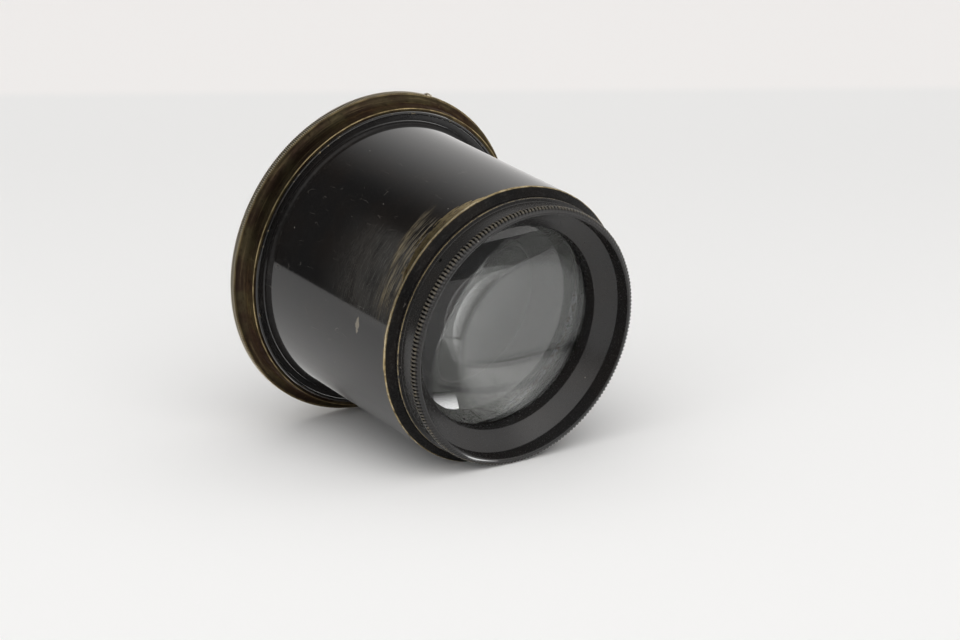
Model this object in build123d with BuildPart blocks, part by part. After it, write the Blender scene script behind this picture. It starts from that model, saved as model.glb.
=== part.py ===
from build123d import *
import os
from math import cos, pi, sin, sqrt

# Brass portrait lens: a lacquered barrel that carries two glass groups and screws into an
# unlacquered mounting ring. Millimetres. The optical axis is the Y axis and the front of the
# lens looks along -Y, with +Z up as the lens lies on a table. The origin is the centre of the
# mounting ring's rear seat. A station is a distance in front of that seat, so it is -Y.

# ---- driving dimensions ----
milling_land = 0.28  # share of a milling pitch that is flat land
milling_excess = 0.05

running_gap = 0.05  # between pieces that turn on each other, radial and axial
touch_gap = 0.02  # between a glass and the metal that holds it

barrel_radius = 28.0
barrel_bore = 26.6
barrel_front = 44.9

ring_radius = 33.8
ring_edge_width = 1.35
ring_edge_teeth = 472
ring_edge_tooth_depth = 0.16
ring_hub_radius = 31.8
ring_rim_radius = 31.65
ring_rim_station = 5.1
ring_recess_radius = 30.95
ring_recess_floor = 3.1
ring_web = 1.0
ring_bore = 25.2
spigot_radius = 27.0
spigot_length = 4.5
score_stations = (3.9, 4.35, 4.6)
score_half_width = 0.05
score_depth = 0.06

collar_thread_radius = 28.9
collar_bead_outer = 30.9
collar_bead_inner = 30.3
collar_groove_inner = 29.1
collar_front = 5.35
collar_cove_front = 6.1
collar_bore = 24.4
collar_sleeve_radius = 25.6
collar_sleeve_front = 4.5
tube_rear = 3.0

front_ring_front = 46.2
front_ring_chamfer_radius = 26.4
front_ring_rear = 38.0
front_ring_bore = 25.25
front_ring_thread_rear = 42.0

cell_shoulder_radius = 26.3
cell_shoulder_front = 47.0
cell_band_radius = 25.5
cell_band_front = 50.1
bead_radius = 26.0
bead_front = 51.9
bead_teeth = 204
bead_tooth_depth = 0.32
lip_radius = 25.2
lip_front = 51.95
lip_bore = 24.5
funnel_outer_radius = 24.4
funnel_outer_station = 48.9
funnel_inner_radius = 20.6
funnel_inner_station = 46.4
spanner_hole_radius = 0.35
spanner_hole_depth = 1.0
spanner_hole_station = 47.65
spanner_hole_angle = 138.0  # about the axis, from +X towards +Z

front_glass_radius = 21.3
front_seat = 43.7
front_crown_front_curve = 76.0
front_crown_rear_curve = 65.0
front_flint_front_curve = 87.5
front_flint_rear_curve = 200.0
front_crown_centre = 7.2
front_air_gap = 0.1
front_flint_centre = 1.95
front_spacer_bore = 20.45
cell_body_radius = 23.8
cell_rear = 34.0
front_lock_thread_radius = 21.9
front_lock_bore = 20.3
front_lock_length = 2.5

rear_glass_radius = 20.0
rear_flint_vertex = 8.5
rear_flint_front_curve = 165.9
rear_flint_rear_curve = 58.4
rear_crown_front_curve = 72.0
rear_crown_rear_curve = 236.7
rear_flint_centre = 2.2
rear_air_gap = 3.0
rear_crown_centre = 5.4
rear_seat_bore = 19.2
rear_spacer_bore = 18.6
rear_lock_thread_radius = 20.6
rear_lock_bore = 19.0
rear_lock_length = 1.85
rear_cell_nose_radius = 22.5
rear_cell_nose_front = 8.4
rear_cell_thread_front = 4.4
rear_cell_radius = 24.8
rear_bead_front = -4.5
rear_bead_rear = -6.2
rear_bead_radius = 25.0
rear_bead_teeth = 196
rear_cell_rear = -6.5
rear_cell_mouth_radius = 22.6

stop_station = 22.0
stop_thickness = 0.8
stop_hole_radius = 19.3
stop_seat_length = 2.0
stop_seat_bore = 25.2
spring_wire_radius = 0.5
spring_split_angle = 14.0

section = Plane(origin=(0, 0, 0), x_dir=(1, 0, 0), z_dir=(0, 0, -1))
axis_plane_x = Plane(origin=(0, 0, 0), x_dir=(1, 0, 0), z_dir=(0, -1, 0))


def sag(curve, radius):
    """Depth of a spherical face of radius `curve` at a distance `radius` from its axis."""
    return curve - sqrt(curve**2 - radius**2)


def turned(outline):
    """Turn a closed outline of (radius, station) points about the optical axis."""
    with BuildSketch(section) as profile:
        with BuildLine():
            Polyline(*outline, close=True)
        make_face()
    revolve(profile.sketch, axis=Axis.Y)


def milling_outline(radius, depth, teeth):
    """Corners of a milled edge: V-shaped cuts, with lands between them at `radius`. The cuts'
    flanks run on past the lands, so that a turned bead can round the lands off."""
    pitch = 2 * pi / teeth
    flank_end = depth + milling_excess
    flank = (0.5 - milling_land / 2) * flank_end / depth
    shape = ((0.0, radius - depth), (flank, radius + milling_excess))
    corners = []
    for tooth in range(teeth):
        root, rise = shape
        for part_of_pitch, r in (root, rise, (1 - rise[0], rise[1])):
            angle = (tooth + part_of_pitch) * pitch
            corners.append((r * cos(angle), r * sin(angle)))
    return corners


def milled_prism(radius, depth, teeth, rear, front):
    """A prism with a milled edge all round it."""
    with BuildSketch(axis_plane_x.offset(rear)) as edge:
        with BuildLine():
            Polyline(*milling_outline(radius, depth, teeth), close=True)
        make_face()
    extrude(edge.sketch, amount=front - rear)


def milled_bead(radius, depth, teeth, bore, rear_end, front_end):
    """A ring with a rounded milled edge. Each end is a (radius, station) point of its curve."""
    rear = rear_end[1]
    front = front_end[1]
    with BuildPart() as bead:
        milled_prism(radius, depth, teeth, rear - 1, front + 1)
        with BuildSketch(section) as profile:
            with BuildLine():
                Polyline(front_end, (bore, front), (bore, rear), rear_end)
                ThreePointArc(rear_end, (radius, (rear + front) / 2), front_end)
            make_face()
        revolve(profile.sketch, axis=Axis.Y, mode=Mode.INTERSECT)
    return bead.part


def lens_element(front_vertex, front_curve, rear_vertex, rear_curve, radius):
    """A glass disc between two spherical faces. A curve is positive when its face bulges
    towards the front of the lens, and negative when it bulges towards the rear."""

    def face(vertex, curve, at):
        return vertex - sag(abs(curve), at) * (1 if curve > 0 else -1)

    front_edge = (radius, face(front_vertex, front_curve, radius))
    rear_edge = (radius, face(rear_vertex, rear_curve, radius))
    front_middle = (radius / 2, face(front_vertex, front_curve, radius / 2))
    rear_middle = (radius / 2, face(rear_vertex, rear_curve, radius / 2))
    with BuildSketch(section) as profile:
        with BuildLine():
            ThreePointArc((0, front_vertex), front_middle, front_edge)
            Line(front_edge, rear_edge)
            ThreePointArc(rear_edge, rear_middle, (0, rear_vertex))
            Line((0, rear_vertex), (0, front_vertex))
        make_face()
    revolve(profile.sketch, axis=Axis.Y)


# ---- stations that follow from the driving dimensions ----
front_crown_vertex = front_seat - touch_gap + sag(front_crown_front_curve, funnel_inner_radius)
front_crown_rear = front_crown_vertex - front_crown_centre
front_flint_front = front_crown_rear - front_air_gap
front_flint_rear = front_flint_front - front_flint_centre
front_spacer_radius = front_glass_radius - running_gap
front_spacer_front = front_crown_rear + sag(front_crown_rear_curve, front_spacer_bore) - touch_gap
front_spacer_rear = (
    front_flint_front + sag(front_flint_front_curve, front_spacer_radius) + touch_gap
)
front_lock_front = front_flint_rear + sag(front_flint_rear_curve, front_lock_bore) - touch_gap
front_lock_rear = front_lock_front - front_lock_length
rear_flint_rear = rear_flint_vertex - rear_flint_centre
rear_seat = rear_flint_vertex - sag(rear_flint_front_curve, rear_seat_bore) + touch_gap
rear_spacer_radius = rear_glass_radius - running_gap
rear_spacer_front = rear_flint_rear - sag(rear_flint_rear_curve, rear_spacer_radius) - touch_gap
rear_crown_vertex = rear_flint_rear - rear_air_gap
rear_spacer_rear = rear_crown_vertex - sag(rear_crown_front_curve, rear_spacer_bore) + touch_gap
rear_crown_rear = rear_crown_vertex - rear_crown_centre
rear_lock_front = rear_crown_rear + sag(rear_crown_rear_curve, rear_lock_bore) - touch_gap
rear_lock_rear = rear_lock_front - rear_lock_length
stop_front = stop_station + stop_thickness / 2
stop_rear = stop_station - stop_thickness / 2
spring_station = stop_front + running_gap + spring_wire_radius
spring_centre_radius = barrel_bore - 0.3 * spring_wire_radius

# ---- mounting ring: milled edge, coved hub, recess for the collar, and a threaded spigot ----
edge_chamfer = 0.18
hub_outline = [
    (ring_bore, -spigot_length),
    (spigot_radius - 0.4, -spigot_length),
    (spigot_radius, -spigot_length + 0.4),
    (spigot_radius, 0),
    (ring_radius - edge_chamfer, 0),
    (ring_radius, edge_chamfer),
    (ring_radius, ring_edge_width - edge_chamfer),
    (ring_radius - edge_chamfer, ring_edge_width),
    (ring_radius - 3 * edge_chamfer, ring_edge_width),
]
hub_foot = (ring_radius - 3 * edge_chamfer, ring_edge_width)
hub_top = (ring_hub_radius, 2.9)
hub_front = (ring_rim_radius, ring_rim_station)
thread_bore = collar_thread_radius + running_gap
with BuildPart() as mounting_ring:
    milled_prism(
        ring_radius,
        ring_edge_tooth_depth,
        ring_edge_teeth,
        -spigot_length - 1,
        ring_rim_station + 1,
    )
    with BuildSketch(section):
        with BuildLine():
            Polyline(*hub_outline)
            RadiusArc(hub_foot, hub_top, 3.2)
            Polyline(
                hub_top,
                hub_front,
                (ring_recess_radius, ring_rim_station),
                (ring_recess_radius, ring_recess_floor),
                (thread_bore, ring_recess_floor),
                (thread_bore, ring_web),
                (ring_bore, ring_web),
                (ring_bore, -spigot_length),
            )
        make_face()
    revolve(axis=Axis.Y, mode=Mode.INTERSECT)
    with BuildSketch(section):
        for score in score_stations:
            slope = (score - hub_top[1]) / (hub_front[1] - hub_top[1])
            surface = hub_top[0] + (hub_front[0] - hub_top[0]) * slope
            with BuildLine():
                Polyline(
                    (surface + score_half_width, score - 2 * score_half_width),
                    (surface - score_depth, score),
                    (surface + score_half_width, score + 2 * score_half_width),
                    close=True,
                )
            make_face()
    revolve(axis=Axis.Y, mode=Mode.SUBTRACT)
mounting_ring.part.label = "mounting_ring"

# ---- rear collar: screws into the mounting ring and carries the barrel tube ----
bead_half = (collar_bead_outer - collar_bead_inner) / 2
bead_middle = collar_bead_inner + bead_half
bead_base = collar_front - bead_half
groove_floor = collar_front - 0.55
collar_rear = ring_web + running_gap
collar_shoulder = ring_recess_floor + running_gap
with BuildPart() as rear_collar:
    with BuildSketch(section):
        with BuildLine():
            Polyline(
                (collar_bore, collar_rear),
                (collar_thread_radius, collar_rear),
                (collar_thread_radius, collar_shoulder),
                (collar_bead_outer, collar_shoulder),
                (collar_bead_outer, bead_base),
            )
            ThreePointArc(
                (collar_bead_outer, bead_base),
                (bead_middle, collar_front),
                (collar_bead_inner, bead_base),
            )
            Polyline(
                (collar_bead_inner, bead_base),
                (collar_bead_inner, groove_floor),
                (collar_groove_inner, groove_floor),
                (collar_groove_inner, collar_front),
                (collar_groove_inner - 0.1, collar_front),
            )
            RadiusArc(
                (collar_groove_inner - 0.1, collar_front),
                (barrel_radius, collar_cove_front),
                1.2,
            )
            Polyline(
                (barrel_radius, collar_cove_front),
                (barrel_radius, tube_rear),
                (collar_sleeve_radius, tube_rear),
                (collar_sleeve_radius, collar_sleeve_front),
                (collar_bore, collar_sleeve_front),
                (collar_bore, collar_rear),
            )
        make_face()
    revolve(axis=Axis.Y)
rear_collar.part.label = "rear_collar"

# ---- barrel tube: plain drawn tube, with a groove inside for the stop's spring ring ----
groove_radius = spring_centre_radius + spring_wire_radius
with BuildPart() as barrel_tube:
    turned(
        [
            (barrel_bore, tube_rear),
            (barrel_radius, tube_rear),
            (barrel_radius, barrel_front),
            (barrel_bore, barrel_front),
            (barrel_bore, spring_station + spring_wire_radius),
            (groove_radius, spring_station + spring_wire_radius),
            (groove_radius, spring_station - spring_wire_radius),
            (barrel_bore, spring_station - spring_wire_radius),
        ]
    )
barrel_tube.part.label = "barrel_tube"

# ---- barrel front ring: soldered into the tube, threaded inside for the front cell ----
with BuildPart() as barrel_front_ring:
    turned(
        [
            (front_ring_bore, front_ring_front),
            (front_ring_bore, front_ring_thread_rear),
            (collar_sleeve_radius, front_ring_thread_rear),
            (collar_sleeve_radius, front_ring_rear),
            (barrel_bore, front_ring_rear),
            (barrel_bore, barrel_front),
            (barrel_radius, barrel_front),
            (barrel_radius - 0.1, barrel_front + 0.15),
            (front_ring_chamfer_radius, front_ring_front),
        ]
    )
barrel_front_ring.part.label = "barrel_front_ring"

# ---- front cell: milled bead, rolled lip, funnel, seat for the front glass ----
cell_seat_station = front_ring_front + running_gap
cell_thread_radius = front_ring_bore - running_gap
bead_rear_end = (bead_radius - 0.35, cell_band_front)
bead_front_end = (lip_radius - 0.3, bead_front)
cell_bead = milled_bead(
    bead_radius,
    bead_tooth_depth,
    bead_teeth,
    cell_band_radius - 0.5,
    bead_rear_end,
    bead_front_end,
)
spanner_plane = Plane(
    origin=(
        cell_band_radius * cos(spanner_hole_angle * pi / 180),
        -spanner_hole_station,
        cell_band_radius * sin(spanner_hole_angle * pi / 180),
    ),
    z_dir=(cos(spanner_hole_angle * pi / 180), 0, sin(spanner_hole_angle * pi / 180)),
)
with BuildPart() as front_cell:
    add(cell_bead)
    with BuildSketch(section):
        with BuildLine():
            Polyline(
                (funnel_inner_radius, front_seat),
                (front_glass_radius + running_gap, front_seat),
                (front_glass_radius + running_gap, front_lock_front + 0.3),
                (front_lock_thread_radius, front_lock_front + 0.3),
                (front_lock_thread_radius, cell_rear),
                (cell_body_radius, cell_rear),
                (cell_body_radius, front_ring_thread_rear),
                (cell_thread_radius, front_ring_thread_rear + 0.4),
                (cell_thread_radius, cell_seat_station),
                (cell_shoulder_radius, cell_seat_station),
                (cell_shoulder_radius, cell_shoulder_front - 0.15),
                (cell_shoulder_radius - 0.15, cell_shoulder_front),
                (cell_band_radius, cell_shoulder_front),
                (cell_band_radius, cell_band_front),
                (cell_band_radius - 0.15, cell_band_front),
                (cell_band_radius - 0.15, bead_front - 0.1),
                (lip_radius - 0.1, bead_front),
            )
            ThreePointArc(
                (lip_radius - 0.1, bead_front),
                ((lip_radius + lip_bore) / 2, lip_front),
                (lip_bore, bead_front),
            )
            Polyline(
                (lip_bore, bead_front),
                (funnel_outer_radius, funnel_outer_station),
                (funnel_inner_radius, funnel_inner_station),
                (funnel_inner_radius, front_seat),
            )
        make_face()
    revolve(axis=Axis.Y)
    with BuildSketch(spanner_plane):
        Circle(spanner_hole_radius)
    extrude(amount=-spanner_hole_depth, mode=Mode.SUBTRACT)
front_cell.part.label = "front_cell"

# ---- front glass: an air-spaced crown and flint, the spacer at their edges, the locking ring ----
with BuildPart() as front_crown:
    lens_element(
        front_crown_vertex,
        front_crown_front_curve,
        front_crown_rear,
        -front_crown_rear_curve,
        front_glass_radius,
    )
front_crown.part.label = "front_crown"

with BuildPart() as front_flint:
    lens_element(
        front_flint_front,
        -front_flint_front_curve,
        front_flint_rear,
        -front_flint_rear_curve,
        front_glass_radius,
    )
front_flint.part.label = "front_flint"

with BuildPart() as front_spacer:
    turned(
        [
            (front_spacer_bore, front_spacer_rear),
            (front_spacer_radius, front_spacer_rear),
            (front_spacer_radius, front_spacer_front),
            (front_spacer_bore, front_spacer_front),
        ]
    )
front_spacer.part.label = "front_spacer"


def locking_ring(outer, bore, rear, front, slot_from_front):
    """A threaded ring with two spanner slots across one face."""
    chamfer_width = 0.25
    turned(
        [
            (bore, rear),
            (outer - chamfer_width, rear),
            (outer, rear + chamfer_width),
            (outer, front - chamfer_width),
            (outer - chamfer_width, front),
            (bore, front),
        ]
    )
    slot_width = 1.6
    slot_depth = 0.8
    start = front if slot_from_front else rear + slot_depth
    with BuildSketch(axis_plane_x.offset(start)) as slot:
        Rectangle(2 * outer + 1, slot_width)
    extrude(slot.sketch, amount=-slot_depth, mode=Mode.SUBTRACT)


with BuildPart() as front_locking_ring:
    locking_ring(
        front_lock_thread_radius - touch_gap,
        front_lock_bore,
        front_lock_rear,
        front_lock_front,
        slot_from_front=False,
    )
front_locking_ring.part.label = "front_locking_ring"

# ---- fixed stop: soldered seat ring, loose disc, and the split wire that holds the disc ----
with BuildPart() as stop_seat_ring:
    turned(
        [
            (stop_seat_bore, stop_rear - running_gap - stop_seat_length),
            (barrel_bore, stop_rear - running_gap - stop_seat_length),
            (barrel_bore, stop_rear - running_gap),
            (stop_seat_bore, stop_rear - running_gap),
        ]
    )
stop_seat_ring.part.label = "stop_seat_ring"

with BuildPart() as stop_disc:
    turned(
        [
            (stop_hole_radius, stop_front),
            (stop_hole_radius + 0.6, stop_rear),
            (barrel_bore - running_gap, stop_rear),
            (barrel_bore - running_gap, stop_front),
        ]
    )
stop_disc.part.label = "stop_disc"

with BuildPart() as stop_spring_ring:
    with BuildSketch(section):
        with Locations((spring_centre_radius, spring_station)):
            Circle(spring_wire_radius - touch_gap)
    revolve(axis=Axis.Y, revolution_arc=360 - spring_split_angle)
stop_spring_ring.part.label = "stop_spring_ring"

# ---- rear cell: screws into the collar from behind ----
rear_grip = milled_bead(
    rear_bead_radius,
    bead_tooth_depth,
    rear_bead_teeth,
    rear_cell_mouth_radius + 0.6,
    (rear_bead_radius - 0.4, rear_bead_rear),
    (rear_bead_radius - 0.4, rear_bead_front),
)
with BuildPart() as rear_cell:
    add(rear_grip)
    turned(
        [
            (rear_seat_bore, rear_cell_nose_front),
            (rear_cell_nose_radius, rear_cell_nose_front),
            (rear_cell_nose_radius, rear_cell_thread_front),
            (collar_bore - running_gap, rear_cell_thread_front - 0.4),
            (collar_bore - running_gap, collar_rear - running_gap),
            (rear_cell_radius, collar_rear - running_gap),
            (rear_cell_radius, rear_bead_front),
            (rear_bead_radius - 0.55, rear_bead_front),
            (rear_bead_radius - 0.55, rear_bead_rear),
            (rear_bead_radius - 0.9, rear_cell_rear),
            (rear_cell_mouth_radius, rear_cell_rear),
            (rear_lock_thread_radius, rear_lock_rear - 0.4),
            (rear_lock_thread_radius, rear_lock_front + 0.2),
            (rear_glass_radius + running_gap, rear_lock_front + 0.2),
            (rear_glass_radius + running_gap, rear_seat),
            (rear_seat_bore, rear_seat),
        ]
    )
rear_cell.part.label = "rear_cell"

# ---- rear glass: an air-spaced flint and crown, the spacer between them, the locking ring ----
with BuildPart() as rear_flint:
    lens_element(
        rear_flint_vertex,
        rear_flint_front_curve,
        rear_flint_rear,
        rear_flint_rear_curve,
        rear_glass_radius,
    )
rear_flint.part.label = "rear_flint"

with BuildPart() as rear_crown:
    lens_element(
        rear_crown_vertex,
        rear_crown_front_curve,
        rear_crown_rear,
        -rear_crown_rear_curve,
        rear_glass_radius,
    )
rear_crown.part.label = "rear_crown"

with BuildPart() as rear_spacer:
    turned(
        [
            (rear_spacer_bore, rear_spacer_rear),
            (rear_spacer_radius, rear_spacer_rear),
            (rear_spacer_radius, rear_spacer_front),
            (rear_spacer_bore, rear_spacer_front),
        ]
    )
rear_spacer.part.label = "rear_spacer"

with BuildPart() as rear_locking_ring:
    locking_ring(
        rear_lock_thread_radius - touch_gap,
        rear_lock_bore,
        rear_lock_rear,
        rear_lock_front,
        slot_from_front=False,
    )
rear_locking_ring.part.label = "rear_locking_ring"

os.makedirs("parts", exist_ok=True)
pieces = (
    mounting_ring,
    rear_collar,
    barrel_tube,
    barrel_front_ring,
    front_cell,
    front_crown,
    front_flint,
    front_spacer,
    front_locking_ring,
    stop_seat_ring,
    stop_disc,
    stop_spring_ring,
    rear_cell,
    rear_flint,
    rear_crown,
    rear_spacer,
    rear_locking_ring,
)
for piece in pieces:
    export_step(piece.part, f"parts/{piece.part.label}.step")
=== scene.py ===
from math import cos, pi, radians, sin, sqrt

import bmesh
import bpy
import numpy as np
from mathutils import Matrix, Vector


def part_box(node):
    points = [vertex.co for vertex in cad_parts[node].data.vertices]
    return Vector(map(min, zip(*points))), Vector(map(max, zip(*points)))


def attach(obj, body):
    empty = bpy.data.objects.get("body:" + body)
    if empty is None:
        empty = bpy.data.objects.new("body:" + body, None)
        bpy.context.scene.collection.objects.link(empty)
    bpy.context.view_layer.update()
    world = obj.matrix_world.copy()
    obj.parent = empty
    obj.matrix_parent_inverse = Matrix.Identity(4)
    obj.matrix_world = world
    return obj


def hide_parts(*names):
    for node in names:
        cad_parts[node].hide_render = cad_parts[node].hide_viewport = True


# Brass portrait lens. The CAD frame gives every radius and station; this script turns finer
# outlines from them, cuts the milling and the threads, and finishes the surfaces.
# Lengths are in millimetres until ring_of() and the stage turn them into metres. A station is a
# distance in front of the mounting ring's seat, so it is -Y. An angle is about the optical axis,
# from +X towards +Z.

MM = 0.001

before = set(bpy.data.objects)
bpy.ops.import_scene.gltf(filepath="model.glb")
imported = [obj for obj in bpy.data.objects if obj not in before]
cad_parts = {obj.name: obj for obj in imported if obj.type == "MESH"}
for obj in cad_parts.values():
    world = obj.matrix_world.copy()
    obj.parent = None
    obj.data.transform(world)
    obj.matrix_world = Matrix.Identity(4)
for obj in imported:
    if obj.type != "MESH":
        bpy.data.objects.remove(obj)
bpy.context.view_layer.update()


# ---- sizes from the frame ----
def outer(node):
    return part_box(node)[1].x / MM


def front(node):
    return -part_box(node)[0].y / MM


def rear(node):
    return -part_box(node)[1].y / MM


RING_RADIUS = outer("mounting_ring")
RIM_STATION = front("mounting_ring")
SPIGOT_REAR = rear("mounting_ring")
BARREL_RADIUS = outer("barrel_tube")
BARREL_REAR = rear("barrel_tube")
BARREL_FRONT = front("barrel_tube")
COLLAR_RADIUS = outer("rear_collar")
COLLAR_REAR = rear("rear_collar")
FRONT_RING_FRONT = front("barrel_front_ring")
FRONT_RING_REAR = rear("barrel_front_ring")
SHOULDER_RADIUS = outer("front_cell")
LIP_FRONT = front("front_cell")
CELL_REAR = rear("front_cell")
FRONT_GLASS_RADIUS = outer("front_crown")
REAR_GLASS_RADIUS = outer("rear_crown")
REAR_GRIP_RADIUS = outer("rear_cell")
REAR_CELL_FRONT = front("rear_cell")
REAR_CELL_REAR = rear("rear_cell")

# ---- finer sizes, as in the CAD ----
RING_TEETH = 472
RING_EDGE_WIDTH = 1.35
RING_TOOTH_DEPTH = 0.16
BURR = (72.0, 1.3, 2.2)  # on the ring's milling: angle, half-width, height in tooth depths
HUB_RADIUS = RING_RADIUS - 2.0
RIM_RADIUS = RING_RADIUS - 2.15
HUB_STATION = 2.9
SCORES = (3.9, 4.35, 4.6)
RECESS_RADIUS = COLLAR_RADIUS + 0.05
RECESS_FLOOR = 3.1
COLLAR_THREAD = COLLAR_RADIUS - 2.0
RING_WEB = COLLAR_REAR - 0.05
RING_BORE = 25.2
SPIGOT_RADIUS = 27.0
COLLAR_BORE = 24.4
COLLAR_SHOULDER = 4.6
COLLAR_GROOVE = 4.8
COLLAR_BEAD_BASE = 5.05
COLLAR_BEAD_HALF = 0.3
COVE_REAR = 5.35
COVE_RISE = 0.75
SLEEVE_RADIUS = 25.6
SLEEVE_FRONT = 4.5
BARREL_BORE = BARREL_RADIUS - 1.4
FRONT_RING_BORE = 25.25
FRONT_THREAD_REAR = 42.0
BAND_RADIUS = SHOULDER_RADIUS - 0.8
SHOULDER_FRONT = FRONT_RING_FRONT + 0.8
SPANNER_ANGLE = 138.0
SPANNER_STATION = SHOULDER_FRONT + 0.65
SPANNER_RADIUS = 0.35
SPANNER_DEPTH = 1.0
BEAD_REAR = 50.1
BEAD_FRONT = 51.9
BEAD_RADIUS = 26.0
LIP_RADIUS = 25.2
LIP_BORE = 24.5
BEAD_TEETH = 204
TOOTH_DEPTH = 0.32
FUNNEL_OUTER = (24.4, 48.9)
FUNNEL_INNER = (20.6, 46.4)
FRONT_SEAT = 43.7
CELL_BODY_RADIUS = 23.8
FRONT_LOCK_RADIUS = 21.9
FRONT_LOCK_FRONT = front("front_locking_ring")
REAR_TEETH = 196
REAR_BEAD = (-6.2, -4.5)
REAR_FACE = (22.6, 24.1, 24.42)  # radii: inner edge, outer edge, foot of the milling
REAR_LOCK_RADIUS = 20.6
REAR_LOCK_FRONT = front("rear_locking_ring")
REAR_LOCK_REAR = rear("rear_locking_ring")
REAR_SEAT_BORE = 19.2
REAR_SEAT = 7.41
REAR_CELL_THREAD = COLLAR_BORE - 0.05
REAR_CELL_RADIUS = 24.8
REAR_NOSE_RADIUS = 22.5
REAR_THREAD_FRONT = 4.4
THREAD_PITCH = 1.0
THREAD_DEPTH = 0.45
GLASS_CURVES = {
    "front_crown": (76.0, -65.0),
    "front_flint": (-87.5, -200.0),
    "rear_flint": (165.9, 58.4),
    "rear_crown": (72.0, -236.7),
}
SEGMENTS = 360
STREAK_RADIUS = 28.0  # where a streak has its stated length

# ---- colours ----
BRASS_PALE = (0.85, 0.76, 0.56)
BRASS_RUBBED = (0.80, 0.72, 0.57)
BRASS_BRIGHT = (0.47, 0.37, 0.20)
BRASS_DULL = (0.20, 0.15, 0.08)
BRASS_BROWN = (0.036, 0.023, 0.016)
BRASS_OLIVE = (0.058, 0.047, 0.026)
GRIME = (0.012, 0.009, 0.005)
LACQUER = (0.0075, 0.0072, 0.0072)
LACQUER_BROWN = (0.016, 0.011, 0.008)
# Grey of scuffs, also used for a painted sheen on the front cell's band.
LACQUER_SCUFF_AND_SHEEN = (0.155, 0.150, 0.140)
DUST = (0.20, 0.185, 0.165)
# Painted shade for the cuts of milled edges.
CUT_SHADE = (0.002, 0.002, 0.002)


def add_object(name, data):
    thing = bpy.data.objects.new(name, data)
    bpy.context.scene.collection.objects.link(thing)
    return thing


def add_mesh(name, vertices, faces):
    mesh = bpy.data.meshes.new(name)
    mesh.from_pydata(vertices, [], faces)
    return add_object(name, mesh)


# ---- turning ----
def smooth(value, low, high):
    t = np.clip((value - low) / (high - low), 0.0, 1.0)
    return t * t * (3 - 2 * t)


def rounded(corners, steps=4):
    """Rows (radius, station) of an open outline. A corner's third number rounds it off."""
    rows = []
    for i, corner in enumerate(corners):
        here = np.array(corner[:2], float)
        size = corner[2] if len(corner) > 2 else 0.0
        if size == 0.0 or i in (0, len(corners) - 1):
            rows.append(tuple(here))
            continue
        before = np.array(corners[i - 1][:2], float) - here
        after = np.array(corners[i + 1][:2], float) - here
        reach = min(size, 0.45 * np.linalg.norm(before), 0.45 * np.linalg.norm(after))
        start = here + before / np.linalg.norm(before) * reach
        end = here + after / np.linalg.norm(after) * reach
        for t in np.linspace(0, 1, steps + 1):
            point = (1 - t) ** 2 * start + 2 * t * (1 - t) * here + t**2 * end
            rows.append(tuple(point))
    return rows


def plain(corners, count=SEGMENTS, steps=4):
    return [(r, s, count, None) for r, s in rounded(corners, steps)]


def tooth_shape(teeth, seed, burr=None):
    """Radial offset of a milled edge, in tooth depths, with five points to a tooth: a V cut and
    a rounded land. The lands are a little uneven, as a milling wheel and years of handling leave
    them. A burr is an (angle, half-width, height) bump that a knock has raised."""
    rng = np.random.default_rng(seed)
    wear = rng.uniform(0.0, 0.12, teeth)
    heights = np.array([0.0, 0.84, 1.0, 1.0, 0.84])
    pattern = np.tile(heights, teeth) * np.repeat(1 - wear, 5) - 1

    def offset(angle, station):
        if burr is None:
            return pattern
        place, half_width, height = burr
        share = np.clip(1 - np.abs(angle - radians(place)) / radians(half_width), 0.0, 1.0)
        return pattern * (1 - share) + height * share * (2 - share)

    return offset


def tooth_angles(teeth):
    within = np.array([0.0, 0.32, 0.43, 0.57, 0.68])
    return ((np.arange(teeth)[:, None] + within[None, :]) / teeth * 2 * pi).ravel()


def thread_rows(radius, start, end, inward, segments=SEGMENTS):
    """Rows of a right-hand thread between two stations. Its form fades out at both ends."""
    low, high = min(start, end), max(start, end)
    count = int(round((high - low) / THREAD_PITCH * 8)) + 1

    def offset(angle, station):
        turn = (station / THREAD_PITCH - angle / (2 * pi)) % 1.0
        form = 1 - np.clip(np.abs(2 * turn - 1) * 1.35 - 0.15, 0, 1)
        ends = smooth(station, low, low + 0.5) * (1 - smooth(station, high - 0.5, high))
        return THREAD_DEPTH * form * ends * (-1 if inward else 1)

    return [(radius, s, segments, offset) for s in np.linspace(start, end, count)]


def ring_of(radius, station, angle, offset):
    r = radius + (offset(angle, station) if offset else 0.0)
    r = np.broadcast_to(r, angle.shape)
    return np.column_stack((r * np.cos(angle), np.full(len(angle), -station), r * np.sin(angle)))


def turned(name, rows, closed=True, sharp=32):
    """A mesh turned about the optical axis. Each row is (radius, station, count, offset), and a
    row whose count is a whole number of teeth has the teeth's own angles. Rows with different
    counts are joined by faces that fan out from the coarser row."""
    vertices, starts, counts = [], [], []
    total = 0
    for radius, station, count, offset in rows:
        if radius == 0:
            points = np.array([[0.0, -station, 0.0]])
        elif isinstance(count, tuple):
            points = ring_of(radius, station, tooth_angles(count[0]), offset)
        else:
            points = ring_of(radius, station, np.arange(count) * (2 * pi / count), offset)
        vertices.append(points)
        starts.append(total)
        counts.append(len(points))
        total += len(points)
    faces = []
    pairs = list(zip(range(len(rows) - 1), range(1, len(rows))))
    if closed:
        pairs.append((len(rows) - 1, 0))
    for a, b in pairs:
        faces += strip(starts[a], counts[a], starts[b], counts[b])
    piece = add_mesh(name, (np.vstack(vertices) * MM).tolist(), faces)
    mesh = piece.data
    shape = bmesh.new()
    shape.from_mesh(mesh)
    bmesh.ops.recalc_face_normals(shape, faces=shape.faces)
    shape.to_mesh(mesh)
    shape.free()
    mesh.shade_smooth()
    mesh.set_sharp_from_angle(angle=radians(sharp))
    return piece


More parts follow.
